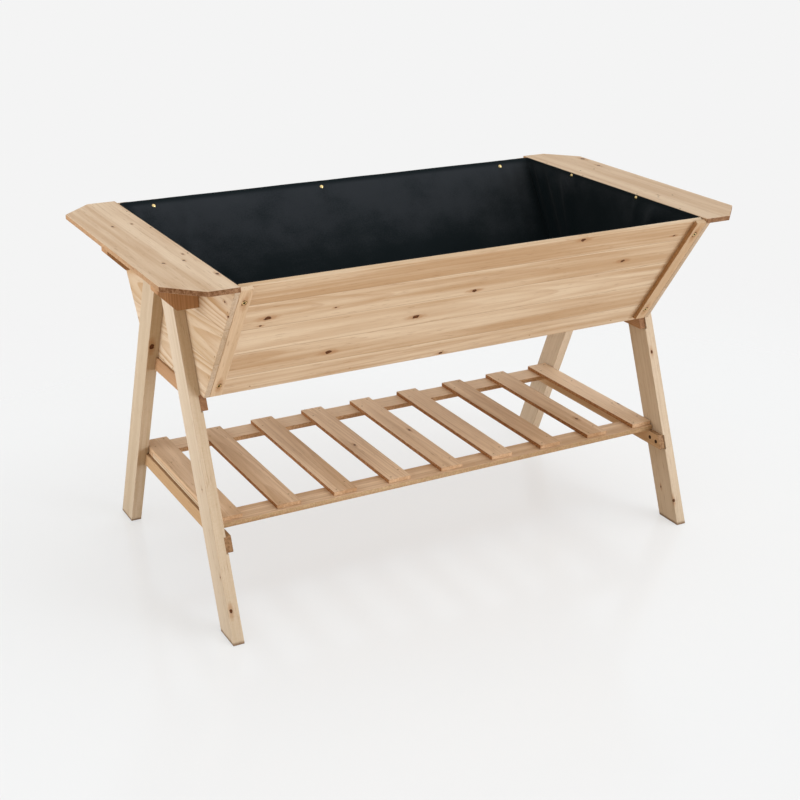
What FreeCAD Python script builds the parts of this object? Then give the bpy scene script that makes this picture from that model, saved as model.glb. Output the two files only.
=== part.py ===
"""Raised garden bed: a V-sided trough between two A-frames, with end boards, a liner and a slatted shelf.

Millimetres. +Z is up, X runs along the bed, -Y is the front. The origin is on the floor under the middle.
"""
import FreeCAD, Part
import math
import os

Vector = FreeCAD.Vector

# Side boards
bed_height = 800.0
board_width = 140.0
board_overhang = 2.0
board_thickness = 11.0
board_clip = 73.0

# Trough
trough_length = 1160.0
end_thickness = 12.0
end_height = 287.0
end_top_width = 756.0
end_bottom_width = 372.0
batten_width = 28.0
batten_thickness = 11.0
batten_rise = 3.0
panel_thickness = 11.0
panel_drop = 8.0
panel_gap = 1.0
bottom_thickness = 11.0
drain_diameter = 12.0
drain_spacing = 220.0
drain_row_spacing = 160.0
drain_end_inset = 24.0

# A-frames
leg_thickness = 26.0
leg_width = 66.0
foot_spread = 734.0
leg_top_spread = 102.0
rail_thickness = 18.0
rail_height = 34.0
rail_housing = 5.0
rail_end_inset = 4.0
lower_rail_top = 216.0

# Brackets under the side boards
bracket_reach = 88.0
bracket_height = 87.0
bracket_thickness = 42.0
bracket_clip = 40.0
bracket_gap = 54.0

# Shelf
shelf_setback = 36.5
shelf_rail_width = 60.0
shelf_rail_thickness = 12.0
shelf_end_gap = 1.5
slat_count = 9
slat_width = 58.0
slat_thickness = 10.0
slat_front_inset = 8.0
packer_width = 30.0
packer_gap = 0.5

# Liner
liner_thickness = 1.2
liner_clearance = 0.3
liner_top_drop = 0.5

# Softened edges of the sawn wood
edge_radius = 1.2

# Screws: a countersunk head with a cross recess
screw_diameter = 4.0
screw_head_diameter = 10.0
screw_head_depth = 3.2
recess_width = 1.6
recess_span = 5.6
recess_depth = 2.2
tip_cover = 3.0
batten_screw_inset = 36.0
leg_screw_spacing = 130.0
bracket_screw_bite = 38.0
bracket_screw_inset = 22.0
bracket_screw_offset = 10.0
rail_screw_spread = 24.0
rail_screw_rise = 3.0
lower_rail_screw_shift = 8.0

# Nails: a flat head flush with the wood
nail_diameter = 2.0
nail_head_diameter = 4.4
nail_head_thickness = 1.0
nail_bite = 20.0
bracket_nail_inset = 22.0
end_nail_inset = 103.0
end_nail_spacing = 162.0
batten_nail_count = 4
batten_nail_inset = 66.0
slat_nail_inset = 12.0
packer_nail_spacing = 180.0
bottom_nail_count = 5
bottom_nail_inset = 95.0
bottom_end_nail_count = 3
bottom_end_nail_spacing = 60.0

# Liner tacks: a domed head on a thin shank
tack_head_diameter = 12.0
tack_head_height = 3.6
tack_diameter = 1.6
tack_length = 8.0
tack_side_drop = 18.0
tack_side_inset = 90.0
tack_side_shift = -6.0
tack_middle_shift = -52.0
tack_end_spacing = 270.0
tack_end_shift = 15.0
tack_end_drop = 8.0

# Lengths, heights and planes that follow from the sizes
board_length = end_top_width + 2 * board_overhang
board_underside = bed_height - board_thickness
trough_bottom = board_underside - end_height
end_inner = trough_length / 2
end_outer = end_inner + end_thickness
rail_outer = end_outer + rail_housing
rail_inner = rail_outer - rail_thickness
panel_end = min(rail_inner, end_inner) - panel_gap
bottom_top = trough_bottom + bottom_thickness

# The trough's sides lean outwards by this angle from upright
side_lean = math.atan((end_top_width - end_bottom_width) / 2 / end_height)
lean_cos = math.cos(side_lean)
lean_sin = math.sin(side_lean)

# The legs lean inwards by this angle from upright
leg_slope = (foot_spread - leg_top_spread) / 2 / board_underside
leg_cos = math.cos(math.atan(leg_slope))
leg_level_width = leg_width / leg_cos


def leg_outer(z):
    """Half the distance between the outer faces of a pair of legs at height z."""
    return foot_spread / 2 - leg_slope * z


def leg_middle(z):
    """Distance from the middle of the bed to a leg's centre line at height z."""
    return leg_outer(z) - leg_level_width / 2


# Places that follow from the legs' lean
bracket_low = board_underside - bracket_height
bracket_middle = leg_outer(bracket_low) + bracket_gap + bracket_thickness / 2
shelf_half = leg_outer(lower_rail_top) - rail_end_inset - shelf_setback
shelf_reach = end_outer - shelf_end_gap
shelf_rail_inner = shelf_half - shelf_rail_width
shelf_rail_top = lower_rail_top + shelf_rail_thickness
slat_top = shelf_rail_top + slat_thickness
slat_reach = {"front": shelf_half - slat_front_inset, "back": shelf_half}
slat_pitch = (2 * shelf_reach - slat_width) / (slat_count - 1)

ends = {"left": -1, "right": 1}
sides = {"front": -1, "back": 1}

pieces = {}
bores = {}


def add(name, shape):
    """Keep a wooden piece or the liner under its node name."""
    pieces[name] = shape
    bores[name] = []


def drive(group, fastener, *through):
    """Keep a fastener in its group and bore its outline out of the pieces that it goes through."""
    solid, outline = fastener
    pieces.setdefault(group, []).append(solid)
    for name in through:
        bores[name].append(outline)


def prism(points, direction):
    """A solid from a flat outline pushed along a vector."""
    loop = Part.makePolygon([Vector(*point) for point in points + points[:1]])
    return Part.Face(loop).extrude(Vector(*direction))


def prism_x(outline, x_from, x_to):
    """A prism along X from an outline of (y, z) points."""
    return prism([(x_from, y, z) for y, z in outline], (x_to - x_from, 0, 0))


def box(x_from, x_to, y_from, y_to, z_from, z_to):
    """A straight block between two corners, given in any order."""
    low = Vector(min(x_from, x_to), min(y_from, y_to), min(z_from, z_to))
    return Part.makeBox(abs(x_to - x_from), abs(y_to - y_from), abs(z_to - z_from), low)


def eased(shape):
    """The same piece with every sawn edge rounded over."""
    return shape.makeFillet(edge_radius, shape.Edges)


def flipped(points, side):
    """Outline points of the front piece, mirrored to the back when side is +1."""
    return [(-side * y, z) for y, z in points]


def slope_point(up, inward):
    """A (y, z) point on the front of the trough.

    up runs along the slope from the end panel's lower corner, inward is square to the slope.
    """
    y = -end_bottom_width / 2 - up * lean_sin + inward * lean_cos
    z = trough_bottom + up * lean_cos + inward * lean_sin
    return y, z


def slope_up(z, inward):
    """The distance up the slope at which a line that far inward reaches height z."""
    return (z - trough_bottom - inward * lean_sin) / lean_cos


def pointed(shape, place, direction):
    """A fastener modelled pointing down -Z from the origin, set at a place and pointing along a direction."""
    turned = shape.copy()
    turn = FreeCAD.Rotation(Vector(0, 0, -1), Vector(*direction))
    turned.Placement = FreeCAD.Placement(Vector(*place), turn)
    return turned


def screw(length, place, direction):
    """A countersunk screw with a cross recess, and its plain outline for boring."""
    neck = Vector(0, 0, -screw_head_depth)
    cone = Part.makeCone(screw_diameter / 2, screw_head_diameter / 2, screw_head_depth, neck)
    shank = Part.makeCylinder(screw_diameter / 2, length - screw_head_depth, Vector(0, 0, -length))
    outline = cone.fuse(shank).removeSplitter()
    half = recess_span / 2
    slot = recess_width / 2
    arm = box(-half, half, -slot, slot, -recess_depth, 0)
    cross_arm = box(-slot, slot, -half, half, -recess_depth, 0)
    solid = outline.cut(arm.fuse(cross_arm))
    return pointed(solid, place, direction), pointed(outline, place, direction)


def nail(length, place, direction):
    """A round nail with a flat head set flush, and the same outline for boring."""
    head = Part.makeCylinder(nail_head_diameter / 2, nail_head_thickness, Vector(0, 0, -nail_head_thickness))
    shank = Part.makeCylinder(nail_diameter / 2, length - nail_head_thickness, Vector(0, 0, -length))
    set_nail = pointed(head.fuse(shank).removeSplitter(), place, direction)
    return set_nail, set_nail


def tack(place, direction):
    """A domed tack whose head sits on the liner, and the outline of its shank for boring."""
    rim = tack_head_diameter / 2
    crown = (rim ** 2 - tack_head_height ** 2) / (2 * tack_head_height)
    ball = Part.makeSphere(math.hypot(rim, crown), Vector(0, 0, -crown))
    slab = box(-rim, rim, -rim, rim, 0, tack_head_height)
    shank = Part.makeCylinder(tack_diameter / 2, tack_length, Vector(0, 0, -tack_length))
    solid = ball.common(slab).fuse(shank)
    return pointed(solid, place, direction), pointed(shank, place, direction)


def even_places(count, spacing):
    """Places evenly spaced about the middle."""
    return [(index - (count - 1) / 2) * spacing for index in range(count)]


def side_board(end):
    """A wide board over one end, with its two outer corners clipped."""
    inner = end * end_inner
    outer = end * (end_inner + board_width)
    clip_start = end * (end_inner + board_width - board_clip)
    half = board_length / 2
    clipped = half - board_clip
    outline = [(inner, -half), (clip_start, -half), (outer, -clipped)]
    outline += [(outer, clipped), (clip_start, half), (inner, half)]
    return eased(prism([(x, y, board_underside) for x, y in outline], (0, 0, board_thickness)))


def end_panel(end):
    """A tapering panel that closes one end of the trough."""
    top = end_top_width / 2
    low = end_bottom_width / 2
    outline = [(-low, trough_bottom), (low, trough_bottom), (top, board_underside), (-top, board_underside)]
    return eased(prism_x(outline, end * end_inner, end * end_outer))


def side_panel(side):
    """The leaning front or back panel, square-cut, its inner top edge level with the side boards."""
    outer = batten_thickness
    inner = batten_thickness + panel_thickness
    low = slope_up(trough_bottom - panel_drop, outer)
    top = slope_up(bed_height, inner)
    outline = [slope_point(low, outer), slope_point(top, outer)]
    outline += [slope_point(top, inner), slope_point(low, inner)]
    return eased(prism_x(flipped(outline, side), -panel_end, panel_end))


def batten(end, side):
    """A batten along one sloped edge of an end panel, on its inner face and flush with that edge.

    Its foot is cut level with the trough's bottom, and its square-cut top stands above the end panel.
    """
    depths = (0, batten_thickness)
    low = [slope_point(slope_up(trough_bottom, depth), depth) for depth in depths]
    top = [slope_point(slope_up(board_underside, 0) + batten_rise, depth) for depth in depths]
    outline = [low[0], top[0], top[1], low[1]]
    return eased(prism_x(flipped(outline, side), end * end_inner, end * (end_inner - batten_width)))


def bottom_half_width(z):
    """Half the clear width between the front and back panels at height z."""
    inner = batten_thickness + panel_thickness
    y, _ = slope_point(slope_up(z, inner), inner)
    return -y


def bottom_panel():
    """The trough's floor, its long edges cut to the panels' lean, with two rows of drain holes."""
    low = bottom_half_width(trough_bottom)
    top = bottom_half_width(bottom_top)
    outline = [(-low, trough_bottom), (low, trough_bottom), (top, bottom_top), (-top, bottom_top)]
    panel = prism_x(outline, -end_inner, end_inner)
    holes_along = int((trough_length - 2 * drain_end_inset) // drain_spacing)
    for x in even_places(holes_along, drain_spacing):
        for y in even_places(2, drain_row_spacing):
            hole = Part.makeCylinder(drain_diameter / 2, bottom_thickness, Vector(x, y, trough_bottom))
            panel = panel.cut(hole)
    return panel


def leg(end, side):
    """A leg with a level foot, cut plumb at the top where it meets its partner, and housed for the rails."""
    meet = min((foot_spread / 2 - leg_level_width) / leg_slope, board_underside)
    outline = [(-leg_outer(0), 0), (-leg_outer(board_underside), board_underside)]
    if meet < board_underside:
        outline.append((0, board_underside))
    outline.append((-leg_outer(meet) + leg_level_width, meet))
    outline.append((-leg_outer(0) + leg_level_width, 0))
    timber = eased(prism_x(flipped(outline, side), end * end_outer, end * (end_outer + leg_thickness)))
    for top in (trough_bottom, lower_rail_top):
        housing = box(end * end_outer, end * rail_outer, -foot_spread, foot_spread, top - rail_height, top)
        timber = timber.cut(housing)
    return timber


def cross_rail(end, top):
    """A rail let into the inner faces of a pair of legs, its ends cut to the legs' lean."""
    low = top - rail_height
    high_half = leg_outer(top) - rail_end_inset
    low_half = leg_outer(low) - rail_end_inset
    outline = [(-low_half, low), (low_half, low), (high_half, top), (-high_half, top)]
    return eased(prism_x(outline, end * rail_inner, end * rail_outer))


def bracket(end, side):
    """A block that carries the side board outside the end panel, its lower outer corner clipped."""
    inner = end_outer
    outer = end_outer + bracket_reach
    outline = [(inner, bracket_low), (outer - bracket_clip, bracket_low), (outer, bracket_low + bracket_clip)]
    outline += [(outer, board_underside), (inner, board_underside)]
    y = side * bracket_middle - bracket_thickness / 2
    return eased(prism([(end * x, y, z) for x, z in outline], (0, bracket_thickness, 0)))


def shelf_rail(side):
    """A long flat rail that carries the slats."""
    outer = side * shelf_half
    inner = side * shelf_rail_inner
    return eased(box(-shelf_reach, shelf_reach, outer, inner, lower_rail_top, shelf_rail_top))


def shelf_packer(end):
    """A strip between the shelf rails that carries the middle of an end slat on the lower rail."""
    half = shelf_rail_inner - packer_gap
    outer = end * shelf_reach
    inner = end * (shelf_reach - packer_width)
    return eased(box(inner, outer, -half, half, lower_rail_top, shelf_rail_top))


def slat(x):
    """One slat across the shelf rails, its front end a little behind the front rail's edge."""
    half = slat_width / 2
    return eased(box(x - half, x + half, -slat_reach["front"], slat_reach["back"], shelf_rail_top, slat_top))


def liner_shell(offset):
    """The space inside the trough, drawn in by an offset, up to the liner's top."""
    inward = batten_thickness + panel_thickness + offset
    low = bottom_top + offset
    top = bed_height - liner_top_drop
    low_y, _ = slope_point(slope_up(low, inward), inward)
    top_y, _ = slope_point(slope_up(top, inward), inward)
    reach = end_inner - offset
    return prism_x([(low_y, low), (-low_y, low), (-top_y, top), (top_y, top)], -reach, reach)


def liner():
    """The fabric lining: a thin open tray against the panels."""
    outer = liner_shell(liner_clearance)
    return outer.cut(liner_shell(liner_clearance + liner_thickness))


def build_wood():
    """Every wooden piece and the liner."""
    for end_name, end in ends.items():
        add("side_board_" + end_name, side_board(end))
        add("end_panel_" + end_name, end_panel(end))
        add("upper_rail_" + end_name, cross_rail(end, trough_bottom))
        add("lower_rail_" + end_name, cross_rail(end, lower_rail_top))
        add("shelf_packer_" + end_name, shelf_packer(end))
        for side_name, side in sides.items():
            corner = side_name + "_" + end_name
            add("batten_" + corner, batten(end, side))
            add("leg_" + corner, leg(end, side))
            add("bracket_" + corner, bracket(end, side))
    for side_name, side in sides.items():
        add(side_name + "_panel", side_panel(side))
        add("shelf_rail_" + side_name, shelf_rail(side))
    add("bottom_panel", bottom_panel())
    for index, x in enumerate(even_places(slat_count, slat_pitch)):
        add("shelf_slat_" + str(index + 1), slat(x))
    add("liner", liner())


def fasten_battens(end_name, side_name):
    """Screws through a batten into the side panel, and nails through the end panel into the batten."""
    end = ends[end_name]
    side = sides[side_name]
    corner = side_name + "_" + end_name
    top = slope_up(board_underside, 0)
    inward = (0, -side * lean_cos, lean_sin)
    shared_middle = (panel_end + end_inner - batten_width) / 2
    length = batten_thickness + panel_thickness - tip_cover
    for up in (batten_screw_inset, top - batten_screw_inset):
        y, z = slope_point(up, 0)
        fastener = screw(length, (end * shared_middle, -side * y, z), inward)
        drive("batten_screws", fastener, "batten_" + corner, side_name + "_panel")
    step = (top - 2 * batten_nail_inset) / (batten_nail_count - 1)
    for up in even_places(batten_nail_count, step):
        y, z = slope_point(top / 2 + up, batten_thickness / 2)
        fastener = nail(end_thickness + nail_bite, (end * end_outer, -side * y, z), (-end, 0, 0))
        drive("batten_nails", fastener, "end_panel_" + end_name, "batten_" + corner)


def fasten_leg(end_name, side_name):
    """Screws from inside the trough into a leg, one from the upper rail and two from the lower rail."""
    end = ends[end_name]
    side = sides[side_name]
    leg_name = "leg_" + side_name + "_" + end_name
    outward = (end, 0, 0)
    for rise in even_places(2, leg_screw_spacing):
        z = trough_bottom + end_height / 2 + rise
        place = (end * end_inner, side * leg_middle(z), z)
        fastener = screw(end_thickness + leg_thickness - tip_cover, place, outward)
        drive("leg_screws", fastener, "end_panel_" + end_name, leg_name)
    levels = (("upper", trough_bottom, 0.0, (-1,)), ("lower", lower_rail_top, lower_rail_screw_shift, (-1, 1)))
    for level, top, shift, steps in levels:
        middle = top - rail_height / 2
        for step in steps:
            y = leg_middle(middle) + shift + step * rail_screw_spread / 2
            z = middle - step * rail_screw_rise / 2
            place = (end * rail_inner, side * y, z)
            length = rail_thickness + leg_thickness - rail_housing - tip_cover
            fastener = screw(length, place, outward)
            drive(level + "_rail_screws", fastener, level + "_rail_" + end_name, leg_name)


def fasten_bracket(end_name, side_name):
    """Screws from inside the trough into a bracket, and nails from the side board down into it."""
    end = ends[end_name]
    side = sides[side_name]
    bracket_name = "bracket_" + side_name + "_" + end_name
    screw_y = side * (bracket_middle - bracket_screw_offset)
    for z in (bracket_low + bracket_screw_inset, board_underside - bracket_screw_inset):
        place = (end * end_inner, screw_y, z)
        fastener = screw(end_thickness + bracket_screw_bite, place, (end, 0, 0))
        drive("bracket_screws", fastener, "end_panel_" + end_name, bracket_name)
    for reach in (bracket_nail_inset, bracket_reach - bracket_nail_inset):
        place = (end * (end_outer + reach), side * bracket_middle, bed_height)
        fastener = nail(board_thickness + nail_bite, place, (0, 0, -1))
        drive("board_nails", fastener, "side_board_" + end_name, bracket_name)


def fasten_end(end_name):
    """Nails from the side board into the end panel's top edge, and from the end panel into the floor."""
    end = ends[end_name]
    panel_name = "end_panel_" + end_name
    outer_nail = end_top_width / 2 - end_nail_inset
    for distance in (outer_nail, outer_nail - end_nail_spacing):
        for side in sides.values():
            place = (end * (end_inner + end_thickness / 2), side * distance, bed_height)
            fastener = nail(board_thickness + nail_bite, place, (0, 0, -1))
            drive("board_nails", fastener, "side_board_" + end_name, panel_name)
    for y in even_places(bottom_end_nail_count, bottom_end_nail_spacing):
        place = (end * end_outer, y, trough_bottom + bottom_thickness / 2)
        fastener = nail(end_thickness + nail_bite, place, (-end, 0, 0))
        drive("bottom_nails", fastener, panel_name, "bottom_panel")
    for y in even_places(2, tack_end_spacing):
        z = bed_height - tack_end_drop
        place = (end * (end_inner - liner_clearance - liner_thickness), tack_end_shift + y, z)
        drive("liner_tacks", tack(place, (end, 0, 0)), "liner", "side_board_" + end_name)


def fasten_side(side_name):
    """Nails from a side panel into the floor, and the tacks that hold the liner to the panel."""
    side = sides[side_name]
    panel_name = side_name + "_panel"
    floor_middle = trough_bottom + bottom_thickness / 2
    y, _ = slope_point(slope_up(floor_middle, batten_thickness), batten_thickness)
    length = panel_thickness / lean_cos + nail_bite
    step = 2 * (panel_end - bottom_nail_inset) / (bottom_nail_count - 1)
    for x in even_places(bottom_nail_count, step):
        fastener = nail(length, (x, -side * y, floor_middle), (0, -side, 0))
        drive("bottom_nails", fastener, panel_name, "bottom_panel")
    face = batten_thickness + panel_thickness
    inward = face + liner_clearance + liner_thickness
    up = slope_up(bed_height, face) - tack_side_drop
    y, z = slope_point(up, inward)
    outer_tack = end_inner - tack_side_inset
    for x in (tack_side_shift - outer_tack, tack_middle_shift, tack_side_shift + outer_tack):
        fastener = tack((x, -side * y, z), (0, side * lean_cos, -lean_sin))
        drive("liner_tacks", fastener, "liner", panel_name)


def fasten_shelf():
    """Screws up through the lower rails into the shelf rails, and nails down through every slat.

    A slat has two nails at each crossing, and an end slat two more into its packer.
    """
    nail_length = slat_thickness + shelf_rail_thickness - tip_cover
    across = slat_width / 2 - slat_nail_inset
    for side_name, side in sides.items():
        rail_name = "shelf_rail_" + side_name
        lap = slat_reach[side_name] - shelf_rail_inner
        along = lap / 2 - slat_nail_inset
        for end_name, end in ends.items():
            rail_y = side * (shelf_half - shelf_rail_width / 2)
            place = (end * (rail_inner + end_outer) / 2, rail_y, lower_rail_top - rail_height)
            fastener = screw(rail_height + shelf_rail_thickness - tip_cover, place, (0, 0, 1))
            drive("shelf_rail_screws", fastener, "lower_rail_" + end_name, rail_name)
        for index, x in enumerate(even_places(slat_count, slat_pitch)):
            for step in (-1, 1):
                place = (x + step * across, side * (shelf_rail_inner + lap / 2) + step * along, slat_top)
                fastener = nail(nail_length, place, (0, 0, -1))
                drive("slat_nails", fastener, "shelf_slat_" + str(index + 1), rail_name)
    for end_name, end in ends.items():
        end_slat = "shelf_slat_" + str(1 if end < 0 else slat_count)
        for y in even_places(2, packer_nail_spacing):
            fastener = nail(nail_length, (end * (shelf_reach - packer_width / 2), y, slat_top), (0, 0, -1))
            drive("slat_nails", fastener, end_slat, "shelf_packer_" + end_name)


def build_fasteners():
    """Every screw, nail and tack."""
    for end_name in ends:
        for side_name in sides:
            fasten_battens(end_name, side_name)
            fasten_leg(end_name, side_name)
            fasten_bracket(end_name, side_name)
        fasten_end(end_name)
    for side_name in sides:
        fasten_side(side_name)
    fasten_shelf()


def finished(name):
    """A node's final shape: a bored piece, or a group of separate fasteners."""
    shape = pieces[name]
    if isinstance(shape, list):
        return Part.makeCompound(shape)
    if bores[name]:
        shape = shape.cut(bores[name])
    return shape


build_wood()
build_fasteners()
os.makedirs("parts", exist_ok=True)
for node in pieces:
    finished(node).exportStep(os.path.join("parts", node + ".step"))
print(len(pieces), "nodes")
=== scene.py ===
"""Looks of a raised garden bed: sawn softwood, a tacked cloth liner, fasteners and a pale stage.

Lengths are metres in the frame's own axes: +Z up, X along the bed, -Y the front.
"""
import math

import bpy
import numpy as np
from bpy.props import FloatProperty, FloatVectorProperty, PointerProperty
from mathutils import Matrix, Vector


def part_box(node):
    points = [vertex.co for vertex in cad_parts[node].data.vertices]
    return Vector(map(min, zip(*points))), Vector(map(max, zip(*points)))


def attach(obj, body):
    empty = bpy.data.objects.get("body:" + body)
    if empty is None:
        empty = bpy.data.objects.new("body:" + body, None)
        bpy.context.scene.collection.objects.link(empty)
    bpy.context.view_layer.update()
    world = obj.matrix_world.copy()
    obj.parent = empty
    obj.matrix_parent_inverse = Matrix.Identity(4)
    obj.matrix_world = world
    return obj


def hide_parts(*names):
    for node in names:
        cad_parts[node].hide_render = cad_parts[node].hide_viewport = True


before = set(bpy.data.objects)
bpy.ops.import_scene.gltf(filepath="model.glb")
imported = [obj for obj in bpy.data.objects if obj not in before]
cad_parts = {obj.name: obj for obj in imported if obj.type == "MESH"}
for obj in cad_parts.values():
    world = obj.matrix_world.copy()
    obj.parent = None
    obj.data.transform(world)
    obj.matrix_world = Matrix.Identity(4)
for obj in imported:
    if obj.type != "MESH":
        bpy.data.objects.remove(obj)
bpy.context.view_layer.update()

bl_info = {
    "name": "Raised Garden Bed",
    "version": (1, 0, 0),
    "blender": (4, 5, 0),
    "location": "View3D > Sidebar > Garden Bed",
    "description": "Finishes the wood, liner and fasteners of a raised garden bed and sets its stage",
    "category": "Object",
}

BODY = "root"
ENDS = ("left", "right")
SIDES = ("front", "back")
CORNERS = [side + "_" + end for side in SIDES for end in ENDS]
SLAT_COUNT = 9
MM = 0.001

# Ways along the frame's axes
X_WAY = (1, 0, 0)
Y_WAY = (0, 1, 0)
Z_WAY = (0, 0, 1)
FRONT_WAY = (0, -1, 0)

# The trough's sides flare by this much over the end panels' height, and the legs by this over theirs
SIDE_FLARE = 0.192
SIDE_RISE = 0.287
LEG_FLARE = 0.316
LEG_RISE = 0.789

# The batten screws: their place along the bed, the foot of the slope that they stand on, how far up that
# slope they are, and the radii between which the painted shade of a head's recess gives way to its plain ring
SCREW_LINE = 0.565
FOOT_HALF = 0.186
FOOT_LEVEL = 0.502
SCREW_RISES = (0.036, 0.3093)
RECESS_RADII = (0.0026, 0.0034)
# Colour of that painted shade
RECESS_SHADE = (0.012, 0.008, 0.004)

SINGLE_BOARD = 1.0
NO_TINT = (1.0, 1.0, 1.0)


# What a kind of setting has beside its name, description and default
COLOUR = {"subtype": "COLOR", "min": 0.0, "max": 1.0}
LENGTH = {"subtype": "DISTANCE", "unit": "LENGTH"}
PLACE = {"subtype": "XYZ", "unit": "LENGTH"}
ANGLE = {"subtype": "ANGLE", "unit": "ROTATION"}
FOCAL = {"subtype": "DISTANCE_CAMERA", "unit": "CAMERA"}
SHARE = {"subtype": "FACTOR", "min": 0.0, "max": 1.0}
POWER = {"min": 0.0}


def setting(kind, name, description, default):
    """A number, or a place or colour of three numbers, that the user can change."""
    make = FloatVectorProperty if isinstance(default, tuple) else FloatProperty
    return make(name=name, description=description, default=default, **kind)


def wood_finish(class_name, pieces, pale, tan, ring, ring_pitch, rings, bands, streaks,
                end_tint, edges, side_tint=NO_TINT, stave_width=SINGLE_BOARD):
    """A property group that holds one kind of board: its colours, growth rings, streaks and glued staves."""
    fields = {
        "pale": setting(COLOUR, "Pale", "Lightest bands of the " + pieces, pale),
        "tan": setting(COLOUR, "Tan", "Darkest bands of the " + pieces, tan),
        "ring": setting(COLOUR, "Ring", "Late-season growth lines of the " + pieces, ring),
        "ring_pitch": setting(LENGTH, "Ring pitch", "Distance between growth rings", ring_pitch),
        "rings": setting(SHARE, "Rings", "How strongly growth rings show", rings),
        "bands": setting(SHARE, "Bands", "How strongly broad bands of tone show", bands),
        "streaks": setting(SHARE, "Streaks", "How strongly narrow streaks show", streaks),
        "stave_width": setting(LENGTH, "Stave width", "Width of each glued stave", stave_width),
        "end_tint": setting(COLOUR, "End tint", "Tint of the sawn ends, white for none", end_tint),
        # The side tint is partly the colour of sawn sides and partly painted shade on them
        "side_tint": setting(COLOUR, "Side tint", "Tint of the sawn sides, white for none", side_tint),
        "edges": setting(SHARE, "Grubby edges", "How dark the handled edges are", edges),
    }
    return type(class_name, (bpy.types.PropertyGroup,), {"__annotations__": fields})


# Each finish's side tint gives narrow sides their sawn colour and painted shade
BedPanelFinish = wood_finish(
    "BedPanelFinish", "long panels and bottom panel",
    pale=(0.735, 0.63, 0.478), tan=(0.54, 0.39, 0.244), ring=(0.43, 0.255, 0.125), ring_pitch=0.0075,
    rings=0.30, bands=0.95, streaks=0.55, end_tint=(0.53, 0.43, 0.37), edges=0.10,
    stave_width=0.080)
BedEndFinish = wood_finish(
    "BedEndFinish", "end panels and shelf packers",
    pale=(0.72, 0.61, 0.475), tan=(0.575, 0.445, 0.295), ring=(0.45, 0.275, 0.125), ring_pitch=0.0060,
    rings=0.85, bands=0.50, streaks=0.35, end_tint=(0.84, 0.85, 0.87), edges=0.20,
    stave_width=0.0957)
BedBoardFinish = wood_finish(
    "BedBoardFinish", "side boards",
    pale=(0.725, 0.58, 0.42), tan=(0.525, 0.355, 0.213), ring=(0.36, 0.205, 0.10), ring_pitch=0.0060,
    rings=0.10, bands=1.0, streaks=0.45, end_tint=(0.345, 0.24, 0.175), edges=0.08,
    side_tint=(0.67, 0.555, 0.455))
BedLegFinish = wood_finish(
    "BedLegFinish", "legs",
    pale=(0.67, 0.585, 0.465), tan=(0.53, 0.435, 0.31), ring=(0.42, 0.295, 0.17), ring_pitch=0.0080,
    rings=0.16, bands=0.60, streaks=0.40, end_tint=(0.70, 0.65, 0.60), edges=0.15,
    side_tint=(0.95, 0.92, 0.88))
BedBattenFinish = wood_finish(
    "BedBattenFinish", "battens",
    pale=(0.69, 0.555, 0.395), tan=(0.55, 0.405, 0.255), ring=(0.46, 0.30, 0.165), ring_pitch=0.0060,
    rings=0.28, bands=0.60, streaks=0.40, end_tint=(0.95, 0.92, 0.90), edges=0.40,
    side_tint=(0.76, 0.59, 0.44))
BedRailFinish = wood_finish(
    "BedRailFinish", "lower rails",
    pale=(0.72, 0.535, 0.345), tan=(0.535, 0.36, 0.20), ring=(0.40, 0.24, 0.115), ring_pitch=0.0060,
    rings=0.30, bands=0.80, streaks=0.50, end_tint=(0.50, 0.42, 0.36), edges=0.40,
    side_tint=(0.58, 0.52, 0.48))
BedSlatFinish = wood_finish(
    "BedSlatFinish", "shelf slats and shelf rails",
    pale=(0.84, 0.665, 0.485), tan=(0.61, 0.43, 0.272), ring=(0.41, 0.24, 0.118), ring_pitch=0.0060,
    rings=0.35, bands=0.90, streaks=0.65, end_tint=(0.70, 0.60, 0.50), edges=0.40,
    side_tint=(0.45, 0.275, 0.155))
BedBracketFinish = wood_finish(
    "BedBracketFinish", "brackets and upper rails",
    pale=(0.575, 0.36, 0.205), tan=(0.42, 0.245, 0.128), ring=(0.28, 0.145, 0.065), ring_pitch=0.0045,
    rings=0.60, bands=0.55, streaks=0.70, end_tint=(0.62, 0.55, 0.52), edges=0.30)


class BedCloth(bpy.types.PropertyGroup):
    """Sizes and colours of the liner."""
    thickness: setting(LENGTH, "Thickness", "Thickness of the cloth", 0.0012)
    corner_radius: setting(LENGTH, "Corner radius", "How roundly the cloth turns the trough's corners", 0.012)
    crease_depth: setting(LENGTH, "Crease depth", "How far a crease at a tack stands off the wall", 0.0035)
    fold_depth: setting(LENGTH, "Fold depth", "How far a soft fold by a corner stands off the wall", 0.011)
    sway_depth: setting(LENGTH, "Sway depth", "How far the loose cloth stands off the wall", 0.005)
    rim_rise: setting(LENGTH, "Rim rise", "How far the rim stands above the trough's edge", 0.0004)
    dark: setting(COLOUR, "Dark", "The cloth's darker fibres", (0.0046, 0.0092, 0.0114))
    light: setting(COLOUR, "Light", "The cloth's lighter fibres", (0.0250, 0.0300, 0.0355))


class BedMetal(bpy.types.PropertyGroup):
    """Colours of the fasteners."""
    screw: setting(COLOUR, "Screw", "Yellow-plated screw steel", (0.95, 0.78, 0.42))
    nail: setting(COLOUR, "Nail", "Nail heads stained by the wood", (0.40, 0.27, 0.15))
    dull: setting(COLOUR, "Dull", "Heads of the rail screws and side board nails", (0.06, 0.03, 0.015))
    tack: setting(COLOUR, "Tack", "Brass-plated tack heads", (0.74, 0.56, 0.26))


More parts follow.
